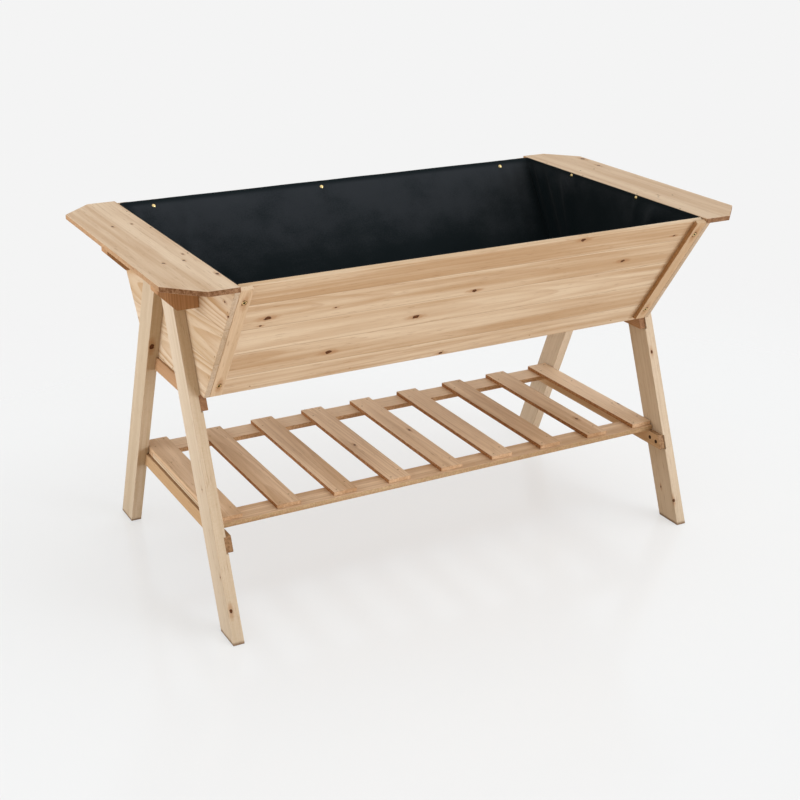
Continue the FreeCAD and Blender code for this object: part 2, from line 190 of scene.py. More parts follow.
class BedStage(bpy.types.PropertyGroup):
    """The camera, the light and the floor."""
    eye: setting(PLACE, "Eye", "Where the camera stands", (-1.556, -2.742, 1.599))
    heading: setting(ANGLE, "Heading", "Camera heading, clockwise from +Y", math.radians(29.38))
    tilt: setting(ANGLE, "Tilt", "How far the camera looks down", math.radians(22.07))
    roll: setting(ANGLE, "Roll", "How far the camera leans", math.radians(0.77))
    lens: setting(FOCAL, "Lens", "Focal length in millimetres", 62.1)
    backdrop: setting(COLOUR, "Backdrop", "Plain colour behind the bed", (0.905, 0.905, 0.905))
    floor: setting(COLOUR, "Floor", "Colour of the floor", (0.935, 0.965, 0.985))
    floor_bounce: setting(COLOUR, "Floor bounce", "Colour of the light off the floor", (0.72, 0.60, 0.48))
    floor_glow: setting(COLOUR, "Floor glow", "Plain colour seen of the floor", (0.96, 0.985, 1.0))
    floor_reach: setting(LENGTH, "Floor reach", "Radius of the floor", 5.0)
    shadow_lift: setting(SHARE, "Shadow lift", "How much of the floor's plain colour is seen", 0.54)
    horizon_tint: setting(COLOUR, "Horizon tint", "Colour of the sky at eye level", (1.0, 0.73, 0.49))
    horizon_light: setting(POWER, "Horizon light", "Sky brightness low down", 0.71)
    overhead_light: setting(POWER, "Overhead light", "Sky brightness overhead", 0.66)
    front_light: setting(POWER, "Front light", "Strength of the soft light in front", 1.80)
    top_light: setting(POWER, "Top light", "Strength of the soft light above", 0.68)
    left_light: setting(POWER, "Left light", "Watts of the soft box on the left", 23.0)


class Nodes:
    """Short-hand for a node tree: each method adds nodes and gives back what they put out."""

    columns = 14
    column_width = 200.0
    row_height = 280.0

    def __init__(self, tree):
        self.tree = tree

    def add(self, kind, inputs=None, **settings):
        """A node with its settings, and its inputs by name."""
        count = len(self.tree.nodes)
        node = self.tree.nodes.new("ShaderNode" + kind)
        node.location = (count % self.columns * self.column_width, -(count // self.columns) * self.row_height)
        for name, value in settings.items():
            setattr(node, name, value)
        self.fill(node, inputs or {})
        return node

    def fill(self, node, inputs):
        """Feed a node's inputs by name."""
        for name, value in inputs.items():
            self.feed(node.inputs[name], value)

    def feed_first(self, node, values):
        """Feed a node's first inputs in order."""
        for socket, value in zip(node.inputs, values):
            self.feed(socket, value)

    def feed(self, socket, value):
        """Link an output to an input, or set the input to a number, a vector or a colour of three parts."""
        if isinstance(value, bpy.types.NodeSocket):
            self.tree.links.new(value, socket)
        elif socket.type == "RGBA":
            socket.default_value = (*value, 1.0)
        else:
            socket.default_value = value

    def math(self, operation, *values):
        """One step of arithmetic, or as many as it takes to work through all the values."""
        first, *others = values
        while True:
            node = self.add("Math", operation=operation)
            self.feed_first(node, [first] + others[:1])
            first, others = node.outputs[0], others[1:]
            if not others:
                return first

    def plus(self, *values):
        """The sum of some numbers."""
        return self.math("ADD", *values)

    def minus(self, first, second):
        """One number less another."""
        return self.math("SUBTRACT", first, second)

    def times(self, *values):
        """The product of some numbers."""
        return self.math("MULTIPLY", *values)

    def highest(self, *values):
        """The highest of some numbers."""
        return self.math("MAXIMUM", *values)

    def lowest(self, *values):
        """The lowest of some numbers."""
        return self.math("MINIMUM", *values)

    def blend(self, *terms):
        """The sum of some numbers, each times its weight."""
        return self.plus(*[self.times(value, weight) for value, weight in terms])

    def around(self, value, weight):
        """A number between 0 and 1 shifted to lie either side of nothing, times a weight."""
        return self.times(self.minus(value, 0.5), weight)

    def vector(self, operation, *values):
        """One step of vector arithmetic."""
        node = self.add("VectorMath", operation=operation)
        self.feed_first(node, values)
        return node.outputs["Value" if operation == "LENGTH" else "Vector"]

    def parts(self, vector):
        """A vector's three parts."""
        return self.add("SeparateXYZ", {"Vector": vector}).outputs[:]

    def join(self, x, y, z):
        """A vector from three parts."""
        return self.add("CombineXYZ", {"X": x, "Y": y, "Z": z}).outputs["Vector"]

    def noise(self, place, scale=None, detail=2.0, roughness=0.5, output="Fac"):
        """Smooth noise of a place, with so many waves per metre along each axis if a scale is given."""
        if scale:
            place = self.vector("MULTIPLY", place, scale)
        inputs = {"Vector": place, "Scale": 1.0, "Detail": detail, "Roughness": roughness}
        return self.add("TexNoise", inputs).outputs[output]

    def ease(self, value, low, high, start=0.0, stop=1.0):
        """A smooth step from start to stop while the value goes from low to high."""
        inputs = {"Value": value, "From Min": low, "From Max": high, "To Min": start, "To Max": stop}
        return self.add("MapRange", inputs, interpolation_type="SMOOTHSTEP").outputs["Result"]

    def fade(self, value, low, high, start=1.0):
        """A smooth step down to nothing while the value goes from low to high."""
        return self.ease(value, low, high, start, 0.0)

    def mix(self, factor, first, second, blend_type="MIX"):
        """Two colours mixed by a factor."""
        node = self.add("Mix", data_type="RGBA", blend_type=blend_type)
        for index, value in ((0, factor), (6, first), (7, second)):
            self.feed(node.inputs[index], value)
        return node.outputs[2]

    def mix_shader(self, factor, first, second):
        """Two shaders mixed by a factor."""
        node = self.add("MixShader")
        self.feed_first(node, (factor, first, second))
        return node.outputs["Shader"]

    def bump(self, height, strength, distance):
        """A normal bent by a height."""
        inputs = {"Height": height, "Strength": strength, "Distance": distance}
        return self.add("Bump", inputs).outputs["Normal"]


def group_tree(name, inputs, outputs):
    """An empty node group with sockets by kind; returns its nodes, its inputs and its output node."""
    tree = bpy.data.node_groups.new(name, "ShaderNodeTree")
    for way, kinds in (("INPUT", inputs), ("OUTPUT", outputs)):
        for kind, names in kinds.items():
            for socket in names:
                tree.interface.new_socket(socket, in_out=way, socket_type="NodeSocket" + kind)
    entry = tree.nodes.new("NodeGroupInput")
    leave = tree.nodes.new("NodeGroupOutput")
    return Nodes(tree), entry.outputs, leave


# A knot's ovals, as how much distance along the grain counts against distance across it; how unevenly they
# run, and the radii between which a mark grows into a knot that bends the grain
CORE_OVAL = (0.72, 1.0)
STAIN_OVAL = (0.30, 1.0)
BEND_OVAL = (0.16, 0.30)
BEND_SHARE = 0.85
BENDING_RADII = (0.0024, 0.0045)
KNOT_WOBBLE = 1.1
KNOT_WOBBLE_SCALE = (130.0, 210.0, 60.0)


def knot_group():
    """A knot in a board.

    The core is a wobbly oval round the centre. The grain bends round it, because a place close to the centre
    line is drawn towards that line by an amount that fades out six radii along and three across, and that is
    nothing for a mere mark. The halo is a longer oval of stained wood. Depth is how much distance through
    the board counts: at 0 the knot goes right through.
    """
    name = "bed_knot"
    if name in bpy.data.node_groups:
        return bpy.data.node_groups[name]
    inputs = {"Vector": ("Place", "Centre"), "Float": ("Radius", "Depth")}
    outputs = {"Vector": ("Place",), "Float": ("Core", "Heart", "Halo")}
    nodes, entry, leave = group_tree(name, inputs, outputs)
    offset = nodes.vector("SUBTRACT", entry["Place"], entry["Centre"])
    uneven = nodes.around(nodes.noise(entry["Place"], KNOT_WOBBLE_SCALE), KNOT_WOBBLE)

    def oval(along, across):
        weights = nodes.join(along, across, nodes.times(entry["Depth"], across))
        length = nodes.vector("LENGTH", nodes.vector("MULTIPLY", offset, weights))
        return nodes.math("DIVIDE", length, entry["Radius"])

    distance = nodes.plus(oval(*CORE_OVAL), uneven)
    stain = nodes.plus(oval(*STAIN_OVAL), uneven)
    pull = nodes.times(nodes.fade(oval(*BEND_OVAL), 0.0, 1.0, BEND_SHARE),
                       nodes.ease(entry["Radius"], *BENDING_RADII))
    shift = nodes.times(nodes.parts(offset)[1], pull)
    nodes.fill(leave, {
        "Place": nodes.vector("SUBTRACT", entry["Place"], nodes.join(0.0, shift, 0.0)),
        "Core": nodes.fade(distance, 0.75, 1.05),
        "Heart": nodes.fade(distance, 0.1, 0.75),
        "Halo": nodes.fade(stain, 0.6, 1.9),
    })
    return nodes.tree


# Noise in a board: waves per metre along and across the grain, octaves, and how strong the finer ones are
GRAIN_NOISES = {
    "slow_sway": (1.3, 6.0, 1.0, 0.5),
    "quick_sway": (9.0, 40.0, 1.0, 0.5),
    "patch": (1.0, 11.0, 1.0, 0.5),
    "band": (0.6, 26.0, 2.0, 0.5),
    "blotch": (2.2, 13.0, 2.0, 0.6),
    "streak": (1.5, 80.0, 2.0, 0.5),
    "hairline": (2.6, 190.0, 2.0, 0.6),
    "fleck": (26.0, 400.0, 1.0, 0.5),
    "fibre": (16.0, 700.0, 2.0, 0.6),
}
# How far the growth rings sway, slowly and quickly, and how far a stave's heart line strays
SLOW_SWAY = (0.0, 0.022, 0.022)
QUICK_SWAY = (0.0, 0.0028, 0.0028)
HEART_SPREAD = (0.0, 0.08, 0.05)
# How far apart the noise of one stave lies from that of the next
STAVE_STRIDE = (40.0, 40.0, 40.0)
NOISE_MIDDLE = (0.5, 0.5, 0.5)
# Waves per metre of the rings' uneven width, of the bands that follow them and of these bands' drift along
RING_WAVES = 45.0
SHELL_WAVES = 34.0
SHELL_DRIFT = 0.35
SPECKLE_SCALE = (700.0, 700.0, 700.0)
COARSE_SCALE = (260.0, 160.0, 160.0)
FIBRE_LIGHT = (1.10, 1.11, 1.12)
FIBRE_DARK = (0.90, 0.885, 0.86)
FLECK_BROWN = (0.24, 0.11, 0.04)
GLUE_BROWN = (0.26, 0.145, 0.065)
HALO_BROWN = (0.36, 0.165, 0.055)
KNOT_RIM = (0.075, 0.024, 0.008)
KNOT_HEART = (0.14, 0.052, 0.018)
EDGE_AND_FOOT_BROWN = (0.16, 0.085, 0.038)
WOOD_INPUTS = {
    "Vector": ("Place", "Heart Line", "Lean"),
    "Float": ("Core", "Heart", "Halo", "Sawn End", "Sawn Side", "Edge", "Seed", "Tone", "Ring Pitch", "Rings",
              "Bands", "Streaks", "Stave Width"),
    "Color": ("End Tint", "Side Tint And Shade", "Pale", "Tan", "Ring"),
}


def softwood_group():
    """Sawn softwood in three dimensions, so that faces, edges and sawn ends agree.

    A place is X along the grain, Y across the face and Z through the thickness. Growth rings are shells round
    a leaning heart line beside the board: the distance from that line, over the ring pitch, gives a saw-tooth
    whose steep end is the dark late-season line. Bands of cream and tan follow the rings, half by noise of
    that distance and half by noise drawn out along the grain. Blotches, streaks, hairlines and fibres are
    ever finer noise drawn out along the grain. Glued staves each start the noise and the heart line afresh.
    Sawn ends take a tint of uneven depth; narrow sides take one too, partly their sawn colour and partly
    painted shade; handled edges are darker.
    """
    name = "bed_softwood"
    if name in bpy.data.node_groups:
        return bpy.data.node_groups[name]
    outputs = {"Color": ("Colour",), "Float": ("Roughness", "Height")}
    nodes, entry, leave = group_tree(name, WOOD_INPUTS, outputs)
    stave_width = entry["Stave Width"]

    x, y, z = nodes.parts(entry["Place"])
    stave_place = nodes.plus(nodes.math("DIVIDE", y, stave_width), 0.5)
    stave = nodes.math("FLOOR", stave_place)
    draw = nodes.plus(stave, entry["Seed"])
    chance = nodes.add("TexWhiteNoise", {"W": draw}, noise_dimensions="1D").outputs
    place = nodes.vector("ADD", entry["Place"], nodes.vector("MULTIPLY", chance["Color"], STAVE_STRIDE))
    share = nodes.math("FRACT", stave_place)
    to_joint = nodes.times(nodes.lowest(share, nodes.minus(1.0, share)), stave_width)
    joint = nodes.fade(to_joint, 0.0002, 0.0012)
    by_joint = nodes.times(nodes.fade(to_joint, 0.001, 0.006), nodes.ease(share, 0.4, 0.6))

    def grain(kind, output="Fac"):
        along, across, detail, roughness = GRAIN_NOISES[kind]
        return nodes.noise(place, (along, across, across), detail, roughness, output)

    slow = nodes.vector("SUBTRACT", grain("slow_sway", "Color"), NOISE_MIDDLE)
    quick = nodes.vector("SUBTRACT", grain("quick_sway", "Color"), NOISE_MIDDLE)
    sway = nodes.vector("ADD", nodes.vector("MULTIPLY", slow, SLOW_SWAY),
                        nodes.vector("MULTIPLY", quick, QUICK_SWAY))
    inside = nodes.join(0.0, nodes.minus(y, nodes.times(stave, stave_width)), z)
    lean = nodes.vector("MULTIPLY", nodes.join(x, x, x), entry["Lean"])
    stray = nodes.vector("MULTIPLY", nodes.vector("SUBTRACT", chance["Color"], NOISE_MIDDLE), HEART_SPREAD)
    from_heart = nodes.vector("SUBTRACT", nodes.vector("ADD", inside, sway), entry["Heart Line"])
    from_heart = nodes.vector("ADD", nodes.vector("ADD", from_heart, stray), lean)
    radius = nodes.vector("LENGTH", from_heart)
    uneven = nodes.noise(nodes.join(nodes.times(radius, RING_WAVES), entry["Seed"], 0.0), detail=1.0)
    rings = nodes.plus(nodes.math("DIVIDE", radius, entry["Ring Pitch"]), nodes.times(uneven, 2.0))
    season = nodes.math("FRACT", rings)
    late = nodes.times(nodes.ease(season, 0.25, 0.88), nodes.fade(season, 0.90, 1.0))
    patchy = nodes.ease(grain("patch"), 0.35, 0.65, 0.35)

    shell = nodes.join(nodes.times(radius, SHELL_WAVES), nodes.plus(entry["Seed"], stave),
                       nodes.times(x, SHELL_DRIFT))
    shell_band = nodes.ease(nodes.noise(shell), 0.32, 0.68)
    long_band = nodes.ease(grain("band"), 0.34, 0.66)
    blotch = nodes.ease(grain("blotch"), 0.30, 0.70)
    streak = nodes.ease(grain("streak"), 0.30, 0.70)
    hairline = nodes.ease(grain("hairline"), 0.52, 0.70)
    fleck = nodes.ease(grain("fleck"), 0.65, 0.75)
    fibre = grain("fibre")

    band_weights = ((shell_band, 0.42), (long_band, 0.36), (blotch, 0.45))
    band = nodes.plus(*[nodes.around(value, weight) for value, weight in band_weights])
    tone = nodes.blend((band, entry["Bands"]), (nodes.around(streak, 0.55), entry["Streaks"]))
    tone = nodes.plus(tone, entry["Tone"], nodes.around(chance["Value"], 0.30), 0.5)
    tone = nodes.minus(tone, nodes.times(by_joint, 0.30))
    colour = nodes.mix(nodes.ease(tone, 0.0, 1.0), entry["Pale"], entry["Tan"])
    colour = nodes.mix(nodes.times(hairline, patchy, entry["Streaks"], 0.55), colour, entry["Ring"])
    on_faces = nodes.ease(entry["Sawn End"], 0.0, 1.0, 1.0, 0.25)
    colour = nodes.mix(nodes.times(late, patchy, entry["Rings"], on_faces), colour, entry["Ring"])
    colour = nodes.mix(1.0, colour, nodes.mix(fibre, FIBRE_LIGHT, FIBRE_DARK), "MULTIPLY")
    stains = ((fleck, 0.36, FLECK_BROWN), (joint, 0.50, GLUE_BROWN), (entry["Halo"], 0.50, HALO_BROWN))
    for where, depth, brown in stains:
        colour = nodes.mix(nodes.times(where, depth), colour, brown)
    colour = nodes.mix(entry["Core"], colour, nodes.mix(entry["Heart"], KNOT_RIM, KNOT_HEART))

    speckle = nodes.noise(entry["Place"], SPECKLE_SCALE)
    coarse = nodes.noise(entry["Place"], COARSE_SCALE)
    rough_cut = nodes.ease(nodes.blend((speckle, 0.5), (coarse, 0.5)), 0.35, 0.65)
    tint_depth = nodes.ease(rough_cut, 0.0, 1.0, 0.65, 1.35)
    # The narrow sides' tint is partly sawn colour and partly painted shade
    for cut, tint in (("Sawn End", "End Tint"), ("Sawn Side", "Side Tint And Shade")):
        rough_tint = nodes.add("Gamma", {"Color": entry[tint], "Gamma": tint_depth}).outputs["Color"]
        colour = nodes.mix(entry[cut], colour, nodes.mix(1.0, colour, rough_tint, "MULTIPLY"))

    sawn = nodes.highest(entry["Sawn End"], entry["Sawn Side"])
    nodes.fill(leave, {
        "Colour": nodes.mix(entry["Edge"], colour, EDGE_AND_FOOT_BROWN),
        "Roughness": nodes.plus(nodes.blend((fibre, 0.16), (late, -0.08), (sawn, 0.20)), 0.50),
        "Height": nodes.blend((fibre, 0.55), (late, -0.15), (joint, -0.8), (entry["Core"], -0.35),
                              (speckle, sawn)),
    })
    return nodes.tree


def new_material(name):
    """A node material with a lone shader, its nodes and that shader."""
    material = bpy.data.materials.new(name)
    material.use_nodes = True
    material.node_tree.nodes.clear()
    nodes = Nodes(material.node_tree)
    shader = nodes.add("BsdfPrincipled")
    nodes.add("OutputMaterial", {"Surface": shader.outputs["BSDF"]})
    return material, nodes, shader


def node_corners(node):
    """The places of all the corners in a carried-over node's mesh."""
    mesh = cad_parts[node].data
    corners = np.empty(len(mesh.vertices) * 3)
    mesh.vertices.foreach_get("co", corners)
    return corners.reshape(-1, 3)


def board_frame(node, along, across):
    """A board's turn, middle and half size, from its grain direction and the direction across its face."""
    grain = Vector(along).normalized()
    through = grain.cross(Vector(across)).normalized()
    turn = Matrix((grain, through.cross(grain), through)).transposed()
    turned = node_corners(node) @ np.array(turn)
    low, high = turned.min(axis=0), turned.max(axis=0)
    return turn, turn @ Vector((low + high) / 2), Vector((high - low) / 2)


def dress(node, material):
    """Give a carried-over node one material."""
    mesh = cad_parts[node].data
    mesh.materials.clear()
    mesh.materials.append(material)


# Grime on handled edges, and darkening towards the bottom of the feet: how unevenly they lie, how far from an
# edge and from the floor they fade out, and how dark the feet are
RUB_SCALE = (40.0, 90.0, 90.0)
RUB_REACH = 0.004
EDGE_REACH = (0.0014, 0.0034)
FOOT_REACH = (0.0040, 0.0110)
FOOT_DARKNESS = 0.8
# How squarely a face has to look along or across the grain to count as sawn
END_FACING = (0.40, 0.70)
SIDE_FACING = (0.72, 0.90)


def dress_wood(node, finish, along, across, seed, heart=(0.05, -0.12), lean=(0.01, 0.02), knots=(), tone=0.0,
               figure=1.0, side_tint=None):
    """Give a carried-over board its own softwood, turned to its grain, with its own heart line and knots.

    The heart line is placed across the face and through the thickness, and leans by shares of the length.
    figure is the share of the finish's bands and streaks that this board shows.
    """
    turn, middle, half = board_frame(node, along, across)
    material, nodes, shader = new_material("wood_" + node)
    where = nodes.add("TexCoord").outputs

    def turned(vector, centre):
        inputs = {"Vector": vector, "Location": centre, "Rotation": turn.to_euler()}
        return nodes.add("Mapping", inputs, vector_type="TEXTURE").outputs["Vector"]

    place = turned(where["Object"], middle)
    facing = turned(where["Normal"], (0.0, 0.0, 0.0))
    along_grain, across_grain, _ = nodes.parts(nodes.vector("ABSOLUTE", facing))
    room = nodes.vector("SUBTRACT", tuple(half), nodes.vector("ABSOLUTE", place))
    first, second, third = nodes.parts(room)
    to_edge = nodes.highest(nodes.lowest(first, second), nodes.lowest(nodes.highest(first, second), third))
    rub = nodes.times(nodes.noise(place, RUB_SCALE), RUB_REACH)
    edge = nodes.fade(nodes.plus(to_edge, rub), *EDGE_REACH, finish.edges)
    above_floor = nodes.plus(nodes.parts(where["Object"])[2], rub)
    edge = nodes.highest(edge, nodes.fade(above_floor, *FOOT_REACH, FOOT_DARKNESS))

    marks = {"Core": 0.0, "Heart": 0.0, "Halo": 0.0}
    for knot_along, knot_across, radius, *level in knots:
        centre = (knot_along * MM, knot_across * MM, sum(level) * MM)
        inputs = {"Place": place, "Centre": centre, "Radius": radius * MM, "Depth": 1.0 if level else 0.0}
        knot = nodes.add("Group", inputs, node_tree=knot_group()).outputs
        place = knot["Place"]
        for mark in marks:
            marks[mark] = nodes.highest(knot[mark], marks[mark])

    inputs = {
        "Place": place, **marks, "Edge": edge, "Seed": seed, "Tone": tone,
        "Sawn End": nodes.ease(along_grain, *END_FACING), "End Tint": finish.end_tint,
        "Sawn Side": nodes.ease(across_grain, *SIDE_FACING), "Side Tint And Shade": side_tint or finish.side_tint,
        "Heart Line": (0.0, *heart), "Lean": (0.0, *lean), "Ring Pitch": finish.ring_pitch,
        "Rings": finish.rings, "Bands": finish.bands * figure,
        "Streaks": finish.streaks * figure, "Stave Width": finish.stave_width,
        "Pale": finish.pale, "Tan": finish.tan, "Ring": finish.ring,
    }
    wood = nodes.add("Group", inputs, node_tree=softwood_group()).outputs
    nodes.fill(shader, {
        "Base Color": wood["Colour"],
        "Roughness": wood["Roughness"],
        "Normal": nodes.bump(wood["Height"], strength=0.35, distance=0.0006),
        "Specular IOR Level": 0.18,
    })
    dress(node, material)


def slope_up(side):
    """The way up a leaning side of the trough."""
    return (0.0, -SIDE_FLARE if side == "front" else SIDE_FLARE, SIDE_RISE)


def leg_up(side):
    """The way up a leaning leg."""
    return (0.0, LEG_FLARE if side == "front" else -LEG_FLARE, LEG_RISE)


# Knots, as millimetres along the grain and across the face from the board's middle, a radius, and for a knot
# that doesn't go right through, its place through the thickness
BOARD_KNOTS = {
    # The four small marks near 160 mm either way on the left board are dark marks round its nail heads
    "left": [(-278, 62, 4.0), (157, -8, 2.6), (162, 37, 2.6), (-160, 38, 2.8), (-162, -6, 2.6),
             (-115, 52, 2.8)],
    "right": [(276, 55, 6.0), (190, 44, 4.0), (-146, -25, 2.2)],
}
PANEL_KNOTS = {
    "front": [(-494, 69, 6.0), (-505, 47, 2.4), (-340, 69, 2.0), (-315, -89, 6.0), (-122, -12, 6.0),
              (5, 50, 5.0), (242, 173, 5.0), (400, 73, 5.0), (-3, -172, 4.0), (515, 139, 3.0)],
    "back": [(-380, 40, 5.0), (-90, -70, 6.0), (260, 95, 4.5), (455, -30, 5.5)],
}
END_KNOTS = {
    "left": [(-324, 110, 3.0, -6), (-338, 83, 2.8, -6)],
    "right": [(-120, 35, 5.0)],
}
LEG_KNOTS = {
    "front_left": [(-359, 33, 4.2, -5), (-284, 27, 2.0, -13), (-93, 10, 2.0, -13)],
    "front_right": [(10, 33, 3.4, -5), (-370, 32, 3.6, -11), (-335, -8, 2.4, -13)],
    "back_left": [(168, 33, 6.0, -5)],
    "back_right": [(-60, -12, 4.0, 13)],
}
SLAT_KNOTS = {
    4: [(-24, -8, 3.5)],
    5: [(-5, 15, 3.5)],
    8: [(-139, 8, 4.0)],
    9: [(-105, 29, 4.5)],
}
# Dark rings round the batten screws, partly bruised wood and partly painted shade of their holes: places up
# the batten and across it from its middle, and a radius, in millimetres
SCREW_PLACES = (-134.5, 138.8)
SCREW_SHIFTS = {"left": 1.0, "right": -1.0}
SCREW_RING = 5.9
# How much paler (below zero) or darker a piece is than its fellows; slat 9, the back shelf rail and the
# back-right leg are made paler as painted light
LEG_TONES = {"front_left": -0.15, "front_right": 0.0, "back_left": 0.15, "back_right": -0.25}
CROSS_RAIL_TONES = {"upper": 0.0, "lower": 0.30}
SHELF_RAIL_TONES = {"front": 0.15, "back": -0.9}
SLAT_TONES = {1: 0.45, 9: -0.75}
# The side tints paint shade as well as colour: the shelf rails' sawn sides are paler than the slats', and the
# left end slat's have none
SHELF_RAIL_SIDES = {"front": (0.66, 0.62, 0.52), "back": (0.58, 0.45, 0.32)}
SLAT_SIDES = {1: NO_TINT}
# How much of the bands and streaks a side board shows
BOARD_FIGURE = {"left": 1.0, "right": 0.55}
# The slats' heart lines lie at distances across that come from a sine of the slat's number
SLAT_HEART_REACH = 0.05
SLAT_HEART_TURN = 2.4


class BED_OT_side_boards(bpy.types.Operator):
    """Finish the two wide boards over the bed's ends"""
    bl_idname = "garden_bed.side_boards"
    bl_label = "Side Boards"

    def execute(self, context):
        for index, end in enumerate(ENDS):
            dress_wood("side_board_" + end, context.scene.bed_board, Y_WAY, X_WAY, seed=1.3 + index,
                       heart=(0.16, -0.10), lean=(0.015, 0.01), knots=BOARD_KNOTS[end],
                       figure=BOARD_FIGURE[end])
        return {"FINISHED"}


class BED_OT_end_panels(bpy.types.Operator):
    """Finish the two panels that close the trough's ends"""
    bl_idname = "garden_bed.end_panels"
    bl_label = "End Panels"

    def execute(self, context):
        for index, end in enumerate(ENDS):
            dress_wood("end_panel_" + end, context.scene.bed_end, Y_WAY, Z_WAY, seed=11.7 + 6 * index,
                       heart=(0.02, -0.065), lean=(0.012, 0.03), knots=END_KNOTS[end])
        return {"FINISHED"}


class BED_OT_long_panels(bpy.types.Operator):
    """Finish the leaning front and back panels"""
    bl_idname = "garden_bed.long_panels"
    bl_label = "Long Panels"

    def execute(self, context):
        for index, side in enumerate(SIDES):
            dress_wood(side + "_panel", context.scene.bed_panel, X_WAY, slope_up(side), seed=31.2 + 9 * index,
                       heart=(0.03, -0.08), lean=(0.012, 0.02), knots=PANEL_KNOTS[side])
        return {"FINISHED"}


class BED_OT_bottom_panel(bpy.types.Operator):
    """Finish the trough's floor"""
    bl_idname = "garden_bed.bottom_panel"
    bl_label = "Bottom Panel"

    def execute(self, context):
        dress_wood("bottom_panel", context.scene.bed_panel, X_WAY, Y_WAY, seed=51.9)
        return {"FINISHED"}


class BED_OT_battens(bpy.types.Operator):
    """Finish the four battens in the trough's corners"""
    bl_idname = "garden_bed.battens"
    bl_label = "Battens"

    def execute(self, context):
        for index, corner in enumerate(CORNERS):
            side, end = corner.split("_")
            # Dark rings at the screws, partly bruised wood and partly painted shade
            bruises_and_shade = [(up, SCREW_SHIFTS[end], SCREW_RING) for up in SCREW_PLACES]
            dress_wood("batten_" + corner, context.scene.bed_batten, slope_up(side), X_WAY, seed=61.4 + index,
                       heart=(0.05, -0.03), knots=bruises_and_shade)
        return {"FINISHED"}


class BED_OT_legs(bpy.types.Operator):
    """Finish the four legs"""
    bl_idname = "garden_bed.legs"
    bl_label = "Legs"

    def execute(self, context):
        for index, corner in enumerate(CORNERS):
            dress_wood("leg_" + corner, context.scene.bed_leg, leg_up(corner.split("_")[0]), FRONT_WAY,
                       seed=71.8 + index, heart=(0.06, -0.05), lean=(0.01, 0.015), knots=LEG_KNOTS[corner],
                       tone=LEG_TONES[corner])
        return {"FINISHED"}


class BED_OT_cross_rails(bpy.types.Operator):
    """Finish the rails that join each pair of legs"""
    bl_idname = "garden_bed.cross_rails"
    bl_label = "Cross Rails"

    def execute(self, context):
        finishes = {"upper": context.scene.bed_bracket, "lower": context.scene.bed_rail}
        names = [(level, end) for level in finishes for end in ENDS]
        for index, (level, end) in enumerate(names):
            dress_wood(level + "_rail_" + end, finishes[level], Y_WAY, Z_WAY, seed=81.1 + index,
                       heart=(0.04, -0.03), tone=CROSS_RAIL_TONES[level])
        return {"FINISHED"}


class BED_OT_brackets(bpy.types.Operator):
    """Finish the four blocks under the side boards"""
    bl_idname = "garden_bed.brackets"
    bl_label = "Brackets"

    def execute(self, context):
        for index, corner in enumerate(CORNERS):
            dress_wood("bracket_" + corner, context.scene.bed_bracket, Z_WAY, X_WAY, seed=91.6 + index,
                       heart=(0.09, 0.02))
        return {"FINISHED"}


class BED_OT_shelf_rails(bpy.types.Operator):
    """Finish the two long rails and the two packers under the slats"""
    bl_idname = "garden_bed.shelf_rails"
    bl_label = "Shelf Rails"

    def execute(self, context):
        for index, side in enumerate(SIDES):
            dress_wood("shelf_rail_" + side, context.scene.bed_slat, X_WAY, Y_WAY, seed=101.5 + index,
                       heart=(0.05, -0.05), tone=SHELF_RAIL_TONES[side], side_tint=SHELF_RAIL_SIDES[side])
        for index, end in enumerate(ENDS):
            dress_wood("shelf_packer_" + end, context.scene.bed_end, Y_WAY, X_WAY, seed=105.2 + index)
        return {"FINISHED"}


class BED_OT_slats(bpy.types.Operator):
    """Finish the shelf's slats"""
    bl_idname = "garden_bed.slats"
    bl_label = "Slats"

    def execute(self, context):
        for number in range(1, SLAT_COUNT + 1):
            heart = (SLAT_HEART_REACH * math.sin(SLAT_HEART_TURN * number), -0.05)
            dress_wood("shelf_slat_" + str(number), context.scene.bed_slat, Y_WAY, X_WAY, seed=111.3 + number,
                       heart=heart, knots=SLAT_KNOTS.get(number, ()), tone=SLAT_TONES.get(number, 0.0),
                       side_tint=SLAT_SIDES.get(number))
        return {"FINISHED"}


def smooth_noise(rng, length, wave, count):
    """A smooth random curve as a function of distance: a sum of sine waves near one wavelength."""
    waves = wave * rng.uniform(0.6, 1.7, count)
    phases = rng.uniform(0.0, 2.0 * math.pi, count)
    return np.sin(2.0 * math.pi * length[:, None] / waves + phases).mean(axis=1)


def tack_places():
    """The middle of each liner tack, from the corners of the separate heads."""
    corners = node_corners("liner_tacks")
    places = []
    left = np.ones(len(corners), bool)
    head_width = 0.024
    while left.any():
        near = left & (np.linalg.norm(corners - corners[left][0], axis=1) < head_width)
        places.append((corners[near].min(axis=0) + corners[near].max(axis=0)) / 2)
        left &= ~near
    return np.array(places)


def bell_curve(value, width):
    """1 at nothing, and less on both sides the further out: e to the power of minus the square."""
    return np.exp(-((value / width) ** 2))


# The liner's cloth off the wall. Sways: their wavelengths round the rim. Creases: how many at a tack, their
# widths, how far they stray and slant, and how far down they reach. Folds: their distances from a corner,
# widths, strays, slants and reaches. Reaches are shares of the way down.
LINER_SEED = 7
BROAD_WAVE = 0.42
NARROW_WAVE = 0.14
DRIFT_WAVE = 0.9
RIM_WAVE = 0.22
CREASE_COUNT = 4
CREASE_WIDTHS = (0.005, 0.010)
CREASE_STRAY = 0.018
CREASE_SLANT = 0.10
CREASE_REACH = 0.22
FOLD_PLACES = (-0.15, -0.085, -0.035, 0.03, 0.08, 0.16)
FOLD_WIDTHS = (0.011, 0.022)
FOLD_STRAY = 0.010
FOLD_SLANT = 0.035
FOLD_REACHES = (0.5, 1.1)
# What holds the cloth to the wall: a tack's width and reach, how far the rim is held and how firmly, the
# share of the way up over which the floor lets go, and the share from which the rim rises
TACK_WIDTH = 0.012
TACK_REACH = 0.06
RIM_REACH = 0.08
RIM_HOLD = 0.85
FLOOR_HOLD = 0.25
RIM_START = 0.8


